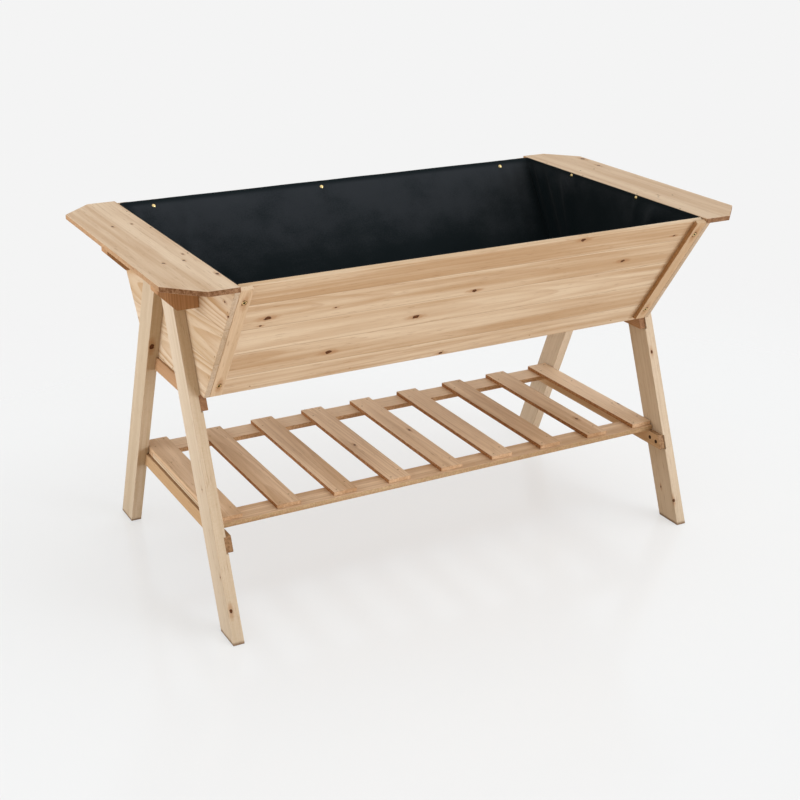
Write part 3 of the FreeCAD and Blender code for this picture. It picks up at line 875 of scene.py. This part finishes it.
def pucker(x, y, z, out, cloth, floor_level, rim_level):
    """Move the liner off its walls, as functions of the distance round the rim and the share of the way up.

    Broad sway is a sum of sine waves. A crease at a tack and a soft fold by a corner are bell curves round
    the rim, slanted and widened on the way down, times a bell curve of depth below the rim. All of it is held
    flat at the tacks and at the floor, and nearly flat along the rim.
    """
    rng = np.random.default_rng(LINER_SEED)
    top_x, top_y = x[-1], y[-1]
    step = np.hypot(np.diff(top_x, append=top_x[:1]), np.diff(top_y, append=top_y[:1]))
    length = np.cumsum(step) - step[0]
    total = step.sum()
    climb = np.clip((z - floor_level) / (rim_level - floor_level), 0.0, 1.0)
    below = 1.0 - climb

    def bell(centre, width, slant):
        gap = np.abs(length[None, :] - centre - slant * below) % total
        return bell_curve(np.minimum(gap, total - gap), width)

    tacks = [length[np.argmin(np.hypot(top_x - px, top_y - py))] for px, py, _ in tack_places()]
    turning = (np.abs(out) > 0.6).all(axis=1)
    corners = length[turning & ~np.roll(turning, 1)]

    broad = smooth_noise(rng, length, BROAD_WAVE, 6)[None, :]
    narrow = smooth_noise(rng, length, NARROW_WAVE, 6)[None, :]
    drift = np.sin(4.0 * climb + 5.0 * smooth_noise(rng, length, DRIFT_WAVE, 4)[None, :])
    push = cloth.sway_depth * np.clip(0.6 + 1.2 * broad + 0.7 * narrow * climb + 0.4 * drift, 0.0, None)
    for place in tacks:
        for _ in range(CREASE_COUNT):
            width = rng.uniform(*CREASE_WIDTHS) * (1.0 + 2.0 * below)
            crease = bell(place + rng.normal(0.0, CREASE_STRAY), width, rng.normal(0.0, CREASE_SLANT))
            depth = cloth.crease_depth * rng.uniform(0.4, 1.0)
            push = push + depth * crease * bell_curve(below, CREASE_REACH)
    for place in corners:
        for distance in FOLD_PLACES:
            width = rng.uniform(*FOLD_WIDTHS) * (1.0 + 0.8 * below)
            fold = bell(place + distance + rng.normal(0.0, FOLD_STRAY), width, rng.normal(0.0, FOLD_SLANT))
            reach = rng.uniform(*FOLD_REACHES)
            depth = cloth.fold_depth * rng.uniform(0.25, 1.0)
            push = push + depth * fold * bell_curve(below, reach)

    held = np.max([bell(place, TACK_WIDTH, 0.0) for place in tacks], axis=0) * bell_curve(below, TACK_REACH)
    held = np.maximum(held, RIM_HOLD * bell_curve(below, RIM_REACH))
    push = push * np.clip(climb / FLOOR_HOLD, 0.0, 1.0) ** 2 * (1.0 - held)
    rise = cloth.rim_rise * np.clip(0.5 + smooth_noise(rng, length, RIM_WAVE, 5), 0.0, 1.0)
    lift = rise[None, :] * np.clip((climb - RIM_START) / (1.0 - RIM_START), 0.0, 1.0)
    return x - out[None, :, 0] * push, y - out[None, :, 1] * push, z + lift


def trough_inside():
    """The liner's box, its depth, how far its walls flare by depth, and half its floor's width."""
    low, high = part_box("liner")
    depth = high.z - low.z
    flare = SIDE_FLARE / SIDE_RISE
    return low, high, depth, flare, high.y - depth * flare


def liner_grid(cloth):
    """The liner's surface against the trough, as rows up the walls by points round the trough.

    Round the trough a row is a rounded rectangle: straight sides and quarter circles. Up the trough the rows
    start as shrunken copies in the middle of the floor, reach the floor's edge and climb the walls, and a
    running mean along that path rounds the corner at the floor. Each wall point then moves off the wall by a
    smooth sway and by narrow bell-shaped puckers below the tacks and in the corners, which fade out at the
    tacks and at the floor.
    """
    low, high, depth, flare, floor_half = trough_inside()
    reach, top_half = high.x, high.y

    side_count, end_count, corner_count = 170, 84, 9
    quarter = np.linspace(0.0, math.pi / 2, corner_count + 2)[1:-1]
    core, out = [], []
    walls = ((0, -1, side_count), (1, 0, end_count), (0, 1, side_count), (-1, 0, end_count))
    for out_x, out_y, count in walls:
        outward = np.array((out_x, out_y))
        along = np.array((-out_y, out_x))
        turn = math.atan2(out_y, out_x) + quarter
        core.append(np.linspace(-1.0, 1.0, count)[:, None] * along + outward)
        core.append(np.tile(along + outward, (corner_count, 1)))
        out.append(np.tile(outward, (count, 1)))
        out.append(np.column_stack((np.cos(turn), np.sin(turn))))
    core, out = np.vstack(core), np.vstack(out)

    floor_rows, wall_rows, blur = 16, 64, 4
    smallest_row = 0.04
    floor_scale = np.linspace(smallest_row, 1.0, floor_rows)
    climb = np.linspace(0.0, 1.0, wall_rows + 1)[1:]
    kernel = np.ones(blur * 2 + 1) / (blur * 2 + 1)

    def rounded(on_floor, on_wall):
        row = np.concatenate((on_floor, on_wall))
        before = 2 * row[0] - row[blur:0:-1]
        after = 2 * row[-1] - row[-2:-blur - 2:-1]
        return np.convolve(np.concatenate((before, row, after)), kernel, mode="valid")

    height = rounded(np.zeros(floor_rows), climb * depth)
    end_half = np.minimum(rounded(floor_scale * reach, np.full(wall_rows, reach)), reach)
    side_half = np.minimum(rounded(floor_scale * floor_half, floor_half + climb * depth * flare), top_half)
    turn_radius = np.minimum(cloth.corner_radius, 0.5 * np.minimum(end_half, side_half))

    x = core[None, :, 0] * (end_half - turn_radius)[:, None] + out[None, :, 0] * turn_radius[:, None]
    y = core[None, :, 1] * (side_half - turn_radius)[:, None] + out[None, :, 1] * turn_radius[:, None]
    z = low.z + np.tile(height[:, None], (1, core.shape[0]))
    return np.stack(pucker(x, y, z, out, cloth, low.z, high.z), axis=-1)


def ring_object(name, grid, upward):
    """An object of closed rows of points: quads join each row to the next, and a lid closes the first row."""
    rows, columns = grid.shape[:2]
    index = np.arange(rows * columns).reshape(rows, columns)
    after = np.roll(index, -1, axis=1)
    corners = [index[:-1], after[:-1], after[1:], index[1:]]
    lid = index[0, ::-1]
    if upward:
        corners = [corners[0], corners[3], corners[2], corners[1]]
        lid = index[0]
    quads = np.stack(corners, axis=-1).reshape(-1, 4)
    mesh = bpy.data.meshes.new(name)
    mesh.from_pydata(grid.reshape(-1, 3).tolist(), [], quads.tolist() + [lid.tolist()])
    mesh.update()
    piece = bpy.data.objects.new(name, mesh)
    bpy.context.scene.collection.objects.link(piece)
    return piece


# Waves per metre of the cloth's felt, fibres and clouds
FELT_SCALE = (330.0, 330.0, 330.0)
CLOTH_FIBRE_SCALE = (140.0, 900.0, 900.0)
CLOTH_CLOUD_SCALE = (7.0, 9.0, 9.0)
# The heights over which the cloth goes from painted shade deep in the trough to painted light higher up, and
# between which its hem is darkened as painted shade
DEPTH_SHADE_LEVELS = (0.58, 0.79)
HEM_SHADE_LEVELS = (0.786, 0.797)
# How far from the middle the end walls begin, and how much darker their painted shade makes them
END_WALL = (0.53, 0.568)
END_SHADE = -0.23


def liner_material(cloth):
    """Matt non-woven cloth: felted fibres in two tones, painted shade deep down and on the end walls, painted
    light higher up, and a hem darkened as painted shade.
    """
    material, nodes, shader = new_material("liner_cloth")
    place = nodes.add("TexCoord").outputs["Object"]
    x, _, z = nodes.parts(place)
    felt = nodes.noise(place, FELT_SCALE, 3.0, 0.65)
    fibre = nodes.noise(place, CLOTH_FIBRE_SCALE, 2.0, 0.6)
    cloud = nodes.noise(place, CLOTH_CLOUD_SCALE, 3.0, 0.55)
    # Painted shade deep in the trough, giving way to painted light higher up
    graded = nodes.ease(z, *DEPTH_SHADE_LEVELS, -0.18, 0.16)
    shade = nodes.ease(nodes.math("ABSOLUTE", x), *END_WALL, 0.0, END_SHADE)
    tone = nodes.plus(nodes.blend((felt, 0.45), (cloud, 0.75)), graded, shade)
    # Painted shade on the hem
    tone = nodes.times(nodes.ease(tone, 0.38, 0.82), nodes.fade(z, *HEM_SHADE_LEVELS))
    nodes.fill(shader, {
        "Base Color": nodes.mix(tone, cloth.dark, cloth.light),
        "Roughness": nodes.ease(felt, 0.2, 0.8, 0.72, 0.95),
        "Specular IOR Level": 0.08,
        "Sheen Weight": 0.03,
        "Sheen Roughness": 0.55,
        "Normal": nodes.bump(nodes.plus(felt, nodes.times(fibre, 0.5)), strength=0.5, distance=0.0005),
    })
    return material


class BED_OT_liner(bpy.types.Operator):
    """Lay the cloth liner in the trough"""
    bl_idname = "garden_bed.liner"
    bl_label = "Liner"

    def execute(self, context):
        cloth = context.scene.bed_cloth
        piece = ring_object("liner_cloth", liner_grid(cloth), upward=False)
        piece.data.polygons.foreach_set("use_smooth", [True] * len(piece.data.polygons))
        piece.data.materials.append(liner_material(cloth))
        wall = piece.modifiers.new("thickness", "SOLIDIFY")
        wall.thickness = cloth.thickness
        wall.offset = -1.0
        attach(piece, BODY)
        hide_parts("liner")
        return {"FINISHED"}


def unshaded_screw_ring(nodes, place):
    """How much of a batten screw's head lies outside the painted shade of its recess: nothing in the recess
    at the middle, full on the ring round it.

    Folding X and Y makes one pair of screws stand for all four corners, and the distance from a screw's axis
    is the length of the cross product of the axis and the way to the place.
    """
    folded = nodes.vector("ABSOLUTE", place)
    axis = Vector((0.0, SIDE_RISE, -SIDE_FLARE)).normalized()
    foot = Vector((SCREW_LINE, FOOT_HALF, FOOT_LEVEL))
    up = Vector(slope_up("back")).normalized()
    apart = []
    for rise in SCREW_RISES:
        way = nodes.vector("SUBTRACT", folded, tuple(foot + up * rise))
        apart.append(nodes.vector("LENGTH", nodes.vector("CROSS_PRODUCT", way, tuple(axis))))
    return nodes.ease(nodes.lowest(*apart), *RECESS_RADII)


# Waves per metre of a metal's clouds and grit, and how bright its dull spots are
METAL_CLOUD_SCALE = (420.0, 420.0, 420.0)
METAL_GRIT_SCALE = (2400.0, 2400.0, 2400.0)
DULL_SHARE = 0.45


def metal_material(name, colour, roughness, wear, bare=True, shaded_recesses=False):
    """Bare or painted metal: cloudy tone, dull spots and an uneven skin, and if asked, painted shade in the
    batten screws' recesses.
    """
    material, nodes, shader = new_material(name)
    place = nodes.add("TexCoord").outputs["Object"]
    cloud = nodes.noise(place, METAL_CLOUD_SCALE, 3.0)
    grit = nodes.noise(place, METAL_GRIT_SCALE)
    dull = [channel * DULL_SHARE for channel in colour]
    shade = nodes.mix(nodes.ease(cloud, 0.45, 0.75, 0.0, wear), colour, dull)
    # If asked, paint shade into the recesses of the batten screws' heads
    if shaded_recesses:
        shade = nodes.mix(unshaded_screw_ring(nodes, place), RECESS_SHADE, shade)
    nodes.fill(shader, {
        "Base Color": shade,
        "Metallic": 1.0 if bare else 0.0,
        "Specular IOR Level": 0.5 if bare else 0.15,
        "Roughness": nodes.ease(cloud, 0.3, 0.8, roughness, roughness + 0.2),
        "Normal": nodes.bump(grit, strength=0.2, distance=0.0001),
    })
    return material


class BED_OT_screws(bpy.types.Operator):
    """Finish the screws"""
    bl_idname = "garden_bed.screws"
    bl_label = "Screws"

    def execute(self, context):
        metal = context.scene.bed_metal
        plated = metal_material("screw_plating", metal.screw, roughness=0.42, wear=0.3, shaded_recesses=True)
        for group in ("batten", "leg", "bracket"):
            dress(group + "_screws", plated)
        dull = metal_material("dull_screw_steel", metal.dull, roughness=0.60, wear=0.6, bare=False)
        for group in ("upper_rail", "lower_rail", "shelf_rail"):
            dress(group + "_screws", dull)
        return {"FINISHED"}


class BED_OT_nails(bpy.types.Operator):
    """Finish the nails"""
    bl_idname = "garden_bed.nails"
    bl_label = "Nails"

    def execute(self, context):
        metal = context.scene.bed_metal
        stained = metal_material("stained_nail_steel", metal.nail, roughness=0.60, wear=0.8, bare=False)
        for group in ("batten", "bottom", "slat"):
            dress(group + "_nails", stained)
        dull = metal_material("dull_nail_steel", metal.dull, roughness=0.60, wear=0.6, bare=False)
        dress("board_nails", dull)
        return {"FINISHED"}


class BED_OT_tacks(bpy.types.Operator):
    """Finish the liner's tacks"""
    bl_idname = "garden_bed.tacks"
    bl_label = "Tacks"

    def execute(self, context):
        brass = metal_material("tack_brass", context.scene.bed_metal.tack, roughness=0.25, wear=0.5)
        dress("liner_tacks", brass)
        return {"FINISHED"}


# The far lamps' ways from the bed, spreads and tints, and the near lamp's place, target, size and tint
FRONT_LAMP = {"toward": (0.54, -0.80, 0.09), "spread": math.radians(32.0), "tint": (0.935, 1.0, 1.11)}
TOP_LAMP = {"toward": (0.42, -0.15, 0.89), "spread": math.radians(60.0), "tint": (1.0, 0.995, 0.99)}
LEFT_LAMP = {"place": (-2.3, 0.40, 0.85), "target": (-0.6, 0.10, 0.55), "size": 1.4,
             "tint": (0.91, 0.97, 1.05)}
LAMP_DISTANCE = 4.0
SENSOR_WIDTH = 36.0
FLOOR_CLOUD_SCALE = (3.0, 3.0, 3.0)
# The floor fades out between these shares of its reach, in an oval that is longer along the bed
FLOOR_FADE = (0.12, 0.42)
FLOOR_OVAL = (0.72, 1.0, 1.0)
# How far up the sky turns white
SKY_TOP = 0.9
WHITE = (1.0, 1.0, 1.0)


def floor_grid(reach):
    """A flat disc of rings and spokes: radius grows with the square of the ring's number."""
    rings, spokes = 24, 96
    radius = reach * np.linspace(0.0, 1.0, rings + 1)[1:] ** 2
    turn = np.linspace(0.0, 2 * math.pi, spokes, endpoint=False)
    x = np.outer(radius, np.cos(turn))
    y = np.outer(radius, np.sin(turn))
    return np.stack((x, y, np.zeros_like(x)), axis=-1)


def floor_material(stage):
    """Pale satin floor that fades into the backdrop with distance and keeps the bed's shadow."""
    material, nodes, shader = new_material("floor_paint")
    place = nodes.add("TexCoord").outputs["Object"]
    cloud = nodes.noise(place, FLOOR_CLOUD_SCALE)
    camera_ray = nodes.add("LightPath").outputs["Is Camera Ray"]
    nodes.fill(shader, {
        "Base Color": nodes.mix(camera_ray, stage.floor_bounce, stage.floor),
        "Roughness": nodes.ease(cloud, 0.2, 0.8, 0.14, 0.22),
        "Specular IOR Level": 0.80,
    })
    plain = nodes.add("Emission", {"Color": stage.floor_glow, "Strength": 1.0})
    lifted = nodes.mix_shader(nodes.times(camera_ray, stage.shadow_lift), shader.outputs["BSDF"],
                              plain.outputs["Emission"])
    around = nodes.vector("LENGTH", nodes.vector("MULTIPLY", place, FLOOR_OVAL))
    far = nodes.ease(around, *[stage.floor_reach * share for share in FLOOR_FADE])
    graded = nodes.mix_shader(far, lifted, nodes.add("BsdfTransparent").outputs["BSDF"])
    output = next(node for node in nodes.tree.nodes if node.type == "OUTPUT_MATERIAL")
    nodes.fill(output, {"Surface": graded})
    return material


def backdrop_world(stage):
    """A plain backdrop for the camera and for gloss, and for the rest a sky that is whiter overhead."""
    world = bpy.data.worlds.new("studio")
    world.use_nodes = True
    world.node_tree.nodes.clear()
    nodes = Nodes(world.node_tree)
    rays = nodes.add("LightPath").outputs
    seen = nodes.highest(rays["Is Camera Ray"], rays["Is Glossy Ray"], rays["Is Transmission Ray"])
    plain = nodes.add("Background", {"Color": stage.backdrop, "Strength": 1.0})
    overhead = nodes.parts(nodes.add("TexCoord").outputs["Generated"])[2]
    strength = nodes.ease(overhead, 0.0, SKY_TOP, stage.horizon_light, stage.overhead_light)
    tint = nodes.mix(nodes.ease(overhead, 0.0, SKY_TOP), stage.horizon_tint, WHITE)
    light = nodes.add("Background", {"Color": tint, "Strength": strength})
    both = nodes.mix_shader(seen, light.outputs["Background"], plain.outputs["Background"])
    nodes.add("OutputWorld", {"Surface": both})
    return world


def add_lamp(name, kind, power, tint, place, toward):
    """A lamp at a place; toward points from what it lights to the lamp."""
    lamp = bpy.data.lights.new(name, kind)
    lamp.energy = power
    lamp.color = tint
    holder = bpy.data.objects.new(name, lamp)
    bpy.context.scene.collection.objects.link(holder)
    holder.location = place
    holder.rotation_euler = Vector(toward).to_track_quat("Z", "Y").to_euler()
    return holder


def add_sun(name, power, toward, spread, tint):
    """A soft, even lamp far away."""
    holder = add_lamp(name, "SUN", power, tint, Vector(toward) * LAMP_DISTANCE, toward)
    holder.data.angle = spread


def add_softbox(name, power, spared, place, target, size, tint):
    """A square soft lamp near the bed, aimed at a target, that doesn't light the spared object."""
    holder = add_lamp(name, "AREA", power, tint, place, Vector(place) - Vector(target))
    holder.data.shape = "SQUARE"
    holder.data.size = size
    holder.visible_glossy = False
    receivers = bpy.data.collections.new(name + "_spared")
    receivers.objects.link(spared)
    holder.light_linking.receiver_collection = receivers
    receivers.collection_objects[0].light_linking.link_state = "EXCLUDE"


def add_camera(stage):
    """A camera that looks ahead along its heading and tilt, leaning by its roll."""
    camera = bpy.data.cameras.new("camera")
    camera.lens = stage.lens
    camera.sensor_width = SENSOR_WIDTH
    holder = bpy.data.objects.new("camera", camera)
    bpy.context.scene.collection.objects.link(holder)
    level_ahead = Vector((math.sin(stage.heading), math.cos(stage.heading), 0.0))
    ahead = level_ahead * math.cos(stage.tilt) - Vector(Z_WAY) * math.sin(stage.tilt)
    level = Vector((math.cos(stage.heading), -math.sin(stage.heading), 0.0))
    upright = level.cross(ahead)
    right = level * math.cos(stage.roll) + upright * math.sin(stage.roll)
    up = upright * math.cos(stage.roll) - level * math.sin(stage.roll)
    turn = Matrix((right, up, -ahead)).transposed().to_4x4()
    holder.matrix_world = Matrix.Translation(stage.eye) @ turn
    return holder


class BED_OT_stage(bpy.types.Operator):
    """Set the floor, the backdrop, the lamps and the camera"""
    bl_idname = "garden_bed.stage"
    bl_label = "Stage"

    def execute(self, context):
        scene = context.scene
        stage = scene.bed_stage
        scene.view_settings.view_transform = "Standard"
        floor = ring_object("floor", floor_grid(stage.floor_reach), upward=True)
        floor.data.materials.append(floor_material(stage))
        scene.world = backdrop_world(stage)
        add_sun("front_light", stage.front_light, **FRONT_LAMP)
        add_sun("top_light", stage.top_light, **TOP_LAMP)
        add_softbox("left_light", stage.left_light, floor, **LEFT_LAMP)
        scene.camera = add_camera(stage)
        return {"FINISHED"}


OPERATORS = (
    BED_OT_side_boards, BED_OT_end_panels, BED_OT_long_panels, BED_OT_bottom_panel, BED_OT_battens,
    BED_OT_legs, BED_OT_cross_rails, BED_OT_brackets, BED_OT_shelf_rails, BED_OT_slats, BED_OT_liner,
    BED_OT_screws, BED_OT_nails, BED_OT_tacks, BED_OT_stage,
)
SETTINGS = {
    "bed_panel": BedPanelFinish,
    "bed_end": BedEndFinish,
    "bed_board": BedBoardFinish,
    "bed_leg": BedLegFinish,
    "bed_batten": BedBattenFinish,
    "bed_rail": BedRailFinish,
    "bed_slat": BedSlatFinish,
    "bed_bracket": BedBracketFinish,
    "bed_cloth": BedCloth,
    "bed_metal": BedMetal,
    "bed_stage": BedStage,
}


class BED_PT_garden_bed(bpy.types.Panel):
    """The garden bed's operators and settings"""
    bl_idname = "BED_PT_garden_bed"
    bl_label = "Garden Bed"
    bl_space_type = "VIEW_3D"
    bl_region_type = "UI"
    bl_category = "Garden Bed"

    def draw(self, context):
        for operator in OPERATORS:
            self.layout.operator(operator.bl_idname)
        for name in SETTINGS:
            settings = getattr(context.scene, name)
            box = self.layout.box()
            for field in settings.__annotations__:
                box.prop(settings, field)


def register():
    """Register every class and hang the settings on the scene."""
    for kind in (*SETTINGS.values(), *OPERATORS, BED_PT_garden_bed):
        bpy.utils.register_class(kind)
    for name, kind in SETTINGS.items():
        setattr(bpy.types.Scene, name, PointerProperty(type=kind))


def unregister():
    """Take the settings off the scene and unregister every class."""
    for name in SETTINGS:
        delattr(bpy.types.Scene, name)
    for kind in reversed((*SETTINGS.values(), *OPERATORS, BED_PT_garden_bed)):
        bpy.utils.unregister_class(kind)


def main():
    """Build the looks piece by piece."""
    register()
    bpy.ops.garden_bed.side_boards()
    bpy.ops.garden_bed.end_panels()
    bpy.ops.garden_bed.long_panels()
    bpy.ops.garden_bed.bottom_panel()
    bpy.ops.garden_bed.battens()
    bpy.ops.garden_bed.legs()
    bpy.ops.garden_bed.cross_rails()
    bpy.ops.garden_bed.brackets()
    bpy.ops.garden_bed.shelf_rails()
    bpy.ops.garden_bed.slats()
    bpy.ops.garden_bed.liner()
    bpy.ops.garden_bed.screws()
    bpy.ops.garden_bed.nails()
    bpy.ops.garden_bed.tacks()
    bpy.ops.garden_bed.stage()


if __name__ == "__main__":
    main()
